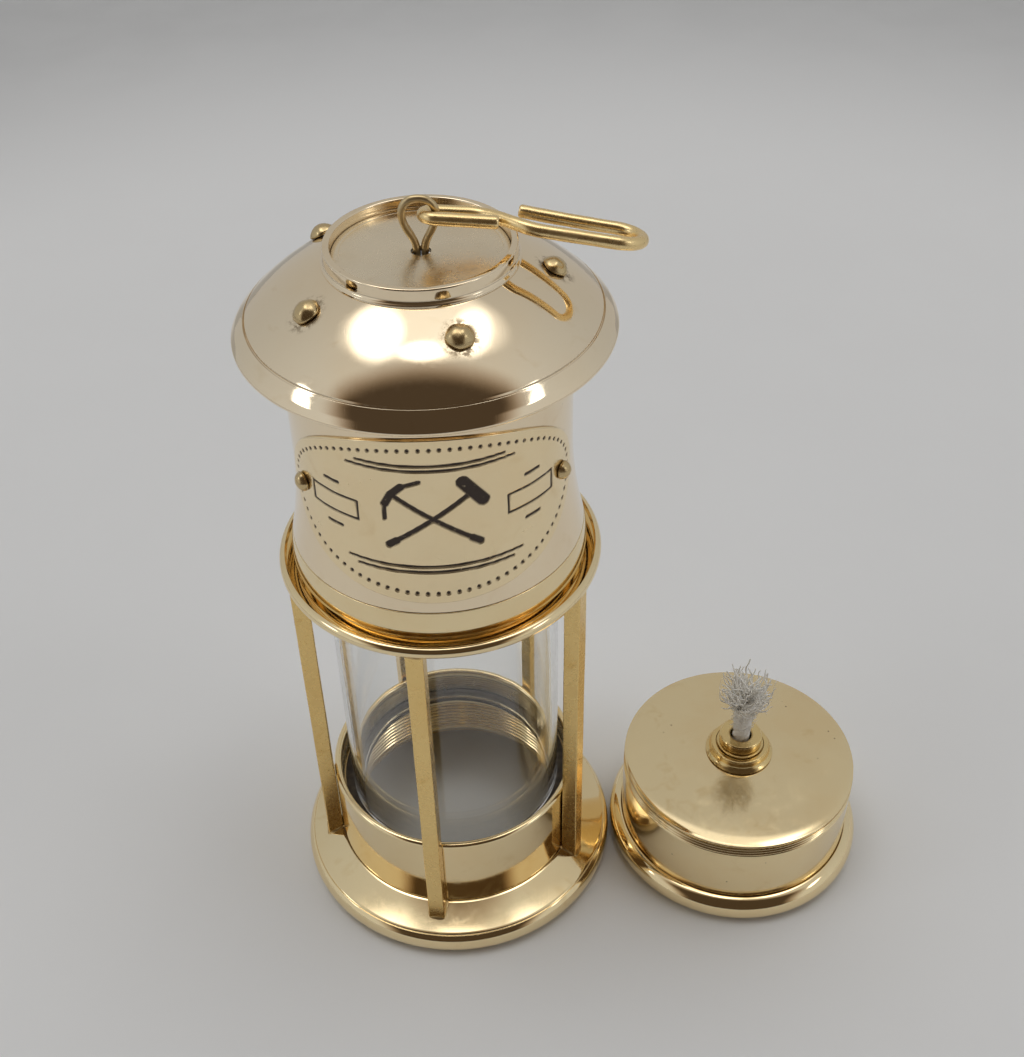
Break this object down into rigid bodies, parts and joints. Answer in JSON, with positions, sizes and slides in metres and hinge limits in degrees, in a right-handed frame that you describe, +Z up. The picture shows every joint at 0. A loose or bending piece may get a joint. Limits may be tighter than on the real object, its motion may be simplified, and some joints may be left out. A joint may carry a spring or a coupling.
{
  "type": "miner's safety lamp",
  "caption": "Polished brass miner's safety lamp with a vented bonnet, glass in a pillar cage and hanging hook, with its screw-in oil font and wick burner standing beside it.",
  "frame": {"origin": "centre of the lamp's foot, on the lamp's axis and on the surface that it stands on", "axes": "+Z up along the lamp's axis; +X towards the font standing beside it; -Y is the side the name plate faces"},
  "size_m": [0.1365, 0.075, 0.1747],
  "materials": {
    "polished_brass": "polished, warm and slightly pale",
    "turned_brass": "turned, with fine concentric marks",
    "satin_brass": "satin, drawn stock",
    "rivet_brass": "polished, darker",
    "dark_brass": "dull, slightly tarnished",
    "gauze_wire": "woven wire, dull",
    "clear_glass": "clear",
    "gasket": "matt",
    "cotton": "frayed cotton"
  },
  "bodies": {
    "lamp_cage": {"base_flange": "polished_brass", "base_collar": "polished_brass", "lower_gasket": "gasket", "glass_chimney": "clear_glass", "upper_gasket": "gasket", "pillar_1": "satin_brass", "pillar_2": "satin_brass", "pillar_3": "satin_brass", "pillar_4": "satin_brass", "pillar_5": "satin_brass", "base_screws": "rivet_brass", "gallery_ring": "polished_brass", "gauze_ring": "rivet_brass", "gauze": "gauze_wire", "gauze_cap": "rivet_brass"},
    "bonnet": {"bonnet_tube": "polished_brass", "skirt_ring": "polished_brass", "hood": "polished_brass", "crown_collar": "polished_brass", "cap_disc": "turned_brass", "hood_rivets": "rivet_brass", "name_plate": "polished_brass", "plate_rivets": "rivet_brass"},
    "eyelet": {"eyelet": "dark_brass"},
    "hook": {"hook": "satin_brass"},
    "font": {"font_shell": "polished_brass", "font_flange": "polished_brass", "font_base": "turned_brass", "font_top": "polished_brass", "wick_boss": "polished_brass"},
    "holder_washer": {"holder_washer": "satin_brass"},
    "wick_holder": {"wick_holder": "satin_brass"},
    "wick": {"wick": "cotton"}
  },
  "joints": [
    {"name": "bonnet_lift", "type": "slide", "parent": "lamp_cage", "child": "bonnet", "axis": [0, 0, 1], "range_m": [0, 0.075]},
    {"name": "eyelet_swivel", "type": "hinge", "parent": "bonnet", "child": "eyelet", "pos_m": [0, 0, 0.1637], "axis": [0, 0, 1], "continuous": true},
    {"name": "hook_swing", "type": "hinge", "parent": "eyelet", "child": "hook", "pos_m": [0, 0, 0.171], "axis": [0, -1, 0], "range_deg": [0, 185]},
    {"name": "font_lift", "type": "slide", "parent": "lamp_cage", "child": "font", "axis": [0, 0, 1], "range_m": [0, 0.06]},
    {"name": "holder_turn", "type": "hinge", "parent": "holder_washer", "child": "wick_holder", "pos_m": [0.0685, 0, 0.0305], "axis": [0, 0, 1], "range_deg": [0, 2881]},
    {"name": "holder_rise", "type": "slide", "parent": "font", "child": "holder_washer", "axis": [0, 0, 1], "range_m": [0, 0.008]},
    {"name": "wick_feed", "type": "slide", "parent": "wick_holder", "child": "wick", "axis": [0, 0, 1], "range_m": [-0.002, 0.012]}
  ],
  "couplings": [
    {"joint": "holder_turn", "follows": "holder_rise", "rad_per_m": 6283.2}
  ]
}
